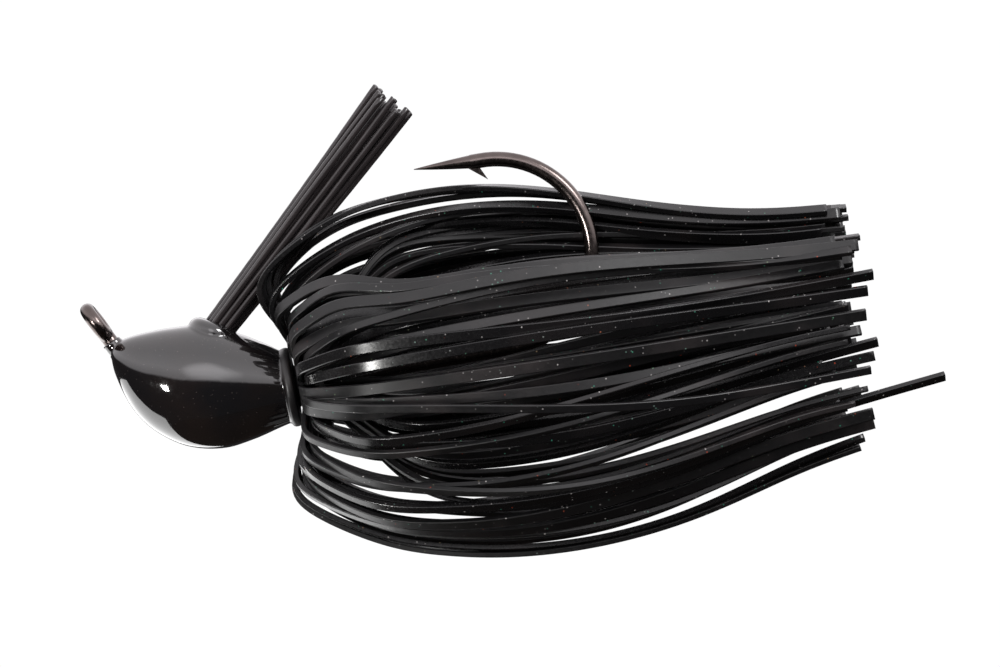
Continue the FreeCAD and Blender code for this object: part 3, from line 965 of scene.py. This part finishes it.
class JIG_OT_skirt(bpy.types.Operator):
    """Builds every silicone strand, folded over the band, with its own drift and twist"""
    bl_idname = "jig.skirt"
    bl_label = "Silicone skirt"

    def execute(self, context):
        settings = context.scene.jig_skirt
        # three copies of the silicone, paler with warmth: the paler patches are partly dust and partly painted lit
        # grey
        shades = [strand_finish(settings, "black_silicone_%d" % shade_number, shade_number / 2)
                  for shade_number in range(3)]
        strands = cad_strands() + spare_strands(settings.spare, random.Random(77))
        for number, strand in enumerate(strands, start=1):
            rng = random.Random(1400 + number)
            plan, nip = strand_plan(strand, rng, settings)
            points = [Vector((x * MM, radius * MM * math.sin(turn),
                              AXIS_Z + radius * MM * math.cos(turn)))
                      for x, radius, turn in plan]
            line = even(spline(points, 10), STRAND_SPACING)
            twists = [rng.uniform(-1, 1) * settings.twist for _ in range(2)]
            width = settings.width * rng.uniform(0.78, 1.24)
            rings = strand_rings(line, strand["angle"], nip, twists, width, settings.thickness)
            vertices, faces = skin(rings)
            name = "strand_%02d" % number
            mesh = mesh_from(name, vertices, faces)
            shade(mesh)
            crisp_flats(mesh, len(rings[0]))
            piece = new_object(name, mesh, shades[number % 3])
            if strand["node"]:
                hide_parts(strand["node"])
            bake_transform(piece)
        return {"FINISHED"}


# ------------------------------------------------------------------ stage
# the floor, in metres: where it lies, and its rim as (radius, how far it has turned down)
FLOOR_X = 0.04
FLOOR_Z = -0.24
FLOOR_SIDES = 96
FLOOR_RIM = ((0.02, 0.0), (0.10, 0.0), (0.18, 0.0), (0.235, 0.0), (0.243, 0.001),
             (0.246, 0.004), (0.246, 0.008))

# the room's brightness from straight below (0) to straight above (1): (place, level)
ROOM_LEVELS = ((0.0, 0.02), (0.13, 0.03), (0.19, 0.72), (0.42, 1.0), (0.80, 0.78))

# the middle of the whole jig, and the middle of its head
JIG_MIDDLE = Vector((0.0395, 0, -0.0081))
HEAD_MIDDLE = Vector((0.009, 0, -0.009))
CAMERA_DISTANCE = 0.45


def area_light(name, place, target, size, power, colour=(1, 1, 1)):
    data = bpy.data.lights.new(name, "AREA")
    data.shape = "RECTANGLE"
    data.size, data.size_y = size
    data.energy = power
    data.color = colour
    light = bpy.data.objects.new(name, data)
    bpy.context.scene.collection.objects.link(light)
    light.location = place
    light.visible_camera = False
    towards = Vector(target) - Vector(place)
    light.rotation_euler = towards.to_track_quat("-Z", "Y").to_euler()


def pale_floor(settings):
    """A round floor with a soft turned-down rim, pale to the eye and dark in reflections."""
    turns = [math.tau * number / FLOOR_SIDES for number in range(FLOOR_SIDES)]
    rings = [[Vector((FLOOR_X + radius * math.cos(turn), radius * math.sin(turn),
                      FLOOR_Z - drop)) for turn in turns] for radius, drop in FLOOR_RIM]
    vertices, faces = skin(rings)
    mesh = mesh_from("studio_floor", vertices, [tuple(reversed(face)) for face in faces])
    shade(mesh)
    finish = Finish("pale_floor")
    grain = finish.noise(finish.place(), 60, 3)
    colour = tuple(settings.floor_colour)
    pale = finish.ramp(grain, [(0.3, tint(colour, 0.97)), (0.7, colour)])
    path = finish.node("ShaderNodeLightPath")
    seen = finish.mix(path.outputs["Is Camera Ray"], (0.016, 0.013, 0.011), pale)
    finish.drive("Base Color", seen)
    finish.put(Roughness=0.7, Specular_IOR_Level=0.0)
    return new_object("studio_floor", mesh, finish.material)


def studio_world(scene, brightness, up, back):
    """White to the camera; to everything else a bright ceiling above a dark room, with a
    soft glow high behind the camera."""
    world = bpy.data.worlds.new("studio")
    world.use_nodes = True
    scene.world = world
    nodes, links = world.node_tree.nodes, world.node_tree.links
    where = nodes.new("ShaderNodeTexCoord")

    def facing(direction):
        dot = nodes.new("ShaderNodeVectorMath")
        dot.operation = "DOT_PRODUCT"
        links.new(where.outputs["Generated"], dot.inputs[0])
        dot.inputs[1].default_value = direction
        return dot.outputs["Value"]

    seen = nodes["Background"]
    seen.inputs["Color"].default_value = (1, 1, 1, 1)
    seen.inputs["Strength"].default_value = 1.02
    glow = nodes.new("ShaderNodeMapRange")
    glow.interpolation_type = "SMOOTHERSTEP"
    glow.inputs["From Min"].default_value = 0.955
    glow.inputs["From Max"].default_value = 1.0
    glow.inputs["To Min"].default_value = brightness
    glow.inputs["To Max"].default_value = brightness * 1.9
    links.new(facing(back * 0.92 + up * 0.39), glow.inputs["Value"])
    ceiling = nodes.new("ShaderNodeValToRGB")
    links.new(facing(up), ceiling.inputs["Fac"])
    elements = ceiling.color_ramp.elements
    while len(elements) < len(ROOM_LEVELS):
        elements.new(0.5)
    for element, (position, level) in zip(elements, ROOM_LEVELS):
        element.position = position
        element.color = (level, level * 0.97, level, 1)
    room = nodes.new("ShaderNodeBackground")
    links.new(glow.outputs["Result"], room.inputs["Strength"])
    links.new(ceiling.outputs["Color"], room.inputs["Color"])
    path = nodes.new("ShaderNodeLightPath")
    mixer = nodes.new("ShaderNodeMixShader")
    links.new(path.outputs["Is Camera Ray"], mixer.inputs["Fac"])
    links.new(room.outputs["Background"], mixer.inputs[1])
    links.new(seen.outputs["Background"], mixer.inputs[2])
    links.new(mixer.outputs["Shader"], nodes["World Output"].inputs["Surface"])


def studio_camera(scene, lens, axes):
    data = bpy.data.cameras.new("camera")
    data.lens = lens
    data.sensor_width = 36
    data.clip_start = 0.01
    camera = bpy.data.objects.new("camera", data)
    scene.collection.objects.link(camera)
    turn = Matrix(axes).transposed().to_4x4()
    back = axes[2]
    camera.matrix_world = Matrix.Translation(JIG_MIDDLE + back * CAMERA_DISTANCE) @ turn
    scene.camera = camera


class JIG_OT_stage(bpy.types.Operator):
    """Sets up the pale floor, the soft studio light and the camera"""
    bl_idname = "jig.stage"
    bl_label = "Studio stage"

    def execute(self, context):
        scene = context.scene
        settings = scene.jig_stage
        pale_floor(settings)
        lean = settings.lean
        right = Vector((math.cos(lean), 0, -math.sin(lean)))
        up = Vector((math.sin(lean), 0, math.cos(lean)))
        back = Vector((0, -1, 0))
        studio_world(scene, settings.ceiling, up, back)
        area_light("key_window",
                   HEAD_MIDDLE + (back * 0.80 - right * 0.56 - up * 0.13) * 0.6,
                   HEAD_MIDDLE, (0.05, 0.07), 2.2, (1.0, 0.99, 0.97))
        area_light("right_panel",
                   JIG_MIDDLE + back * 0.30 + up * 0.34 + right * 0.30,
                   JIG_MIDDLE, (0.16, 0.16), 1.6)
        area_light("left_card",
                   HEAD_MIDDLE + (-right * 0.62 - back * 0.50 - up * 0.60) * 0.24,
                   HEAD_MIDDLE, (0.36, 0.20), 0.62)
        studio_camera(scene, settings.lens, (right, up, back))
        scene.view_settings.view_transform = "Standard"
        return {"FINISHED"}


# ------------------------------------------------------------------ panel and registration
OPERATORS = (JIG_OT_stage, JIG_OT_hook, JIG_OT_head, JIG_OT_guard, JIG_OT_skirt)
GROUPS = {"jig_hook": JigHookSettings, "jig_head": JigHeadSettings, "jig_guard": JigGuardSettings,
          "jig_skirt": JigSkirtSettings, "jig_stage": JigStageSettings}


class JIG_PT_panel(bpy.types.Panel):
    bl_label = "Skirted Jig"
    bl_idname = "JIG_PT_panel"
    bl_space_type = "VIEW_3D"
    bl_region_type = "UI"
    bl_category = "Jig"

    def draw(self, context):
        for name, group in GROUPS.items():
            column = self.layout.box().column()
            for field in group.__annotations__:
                column.prop(getattr(context.scene, name), field)
        for operator in OPERATORS:
            self.layout.operator(operator.bl_idname)


CLASSES = (*GROUPS.values(), *OPERATORS, JIG_PT_panel)


def register():
    for kind in CLASSES:
        bpy.utils.register_class(kind)
    for name, group in GROUPS.items():
        setattr(bpy.types.Scene, name, PointerProperty(type=group))


def unregister():
    for name in GROUPS:
        delattr(bpy.types.Scene, name)
    for kind in reversed(CLASSES):
        bpy.utils.unregister_class(kind)


def main():
    register()
    bpy.ops.jig.stage()
    bpy.ops.jig.hook()
    bpy.ops.jig.head()
    bpy.ops.jig.guard()
    bpy.ops.jig.skirt()


if __name__ == "__main__":
    main()
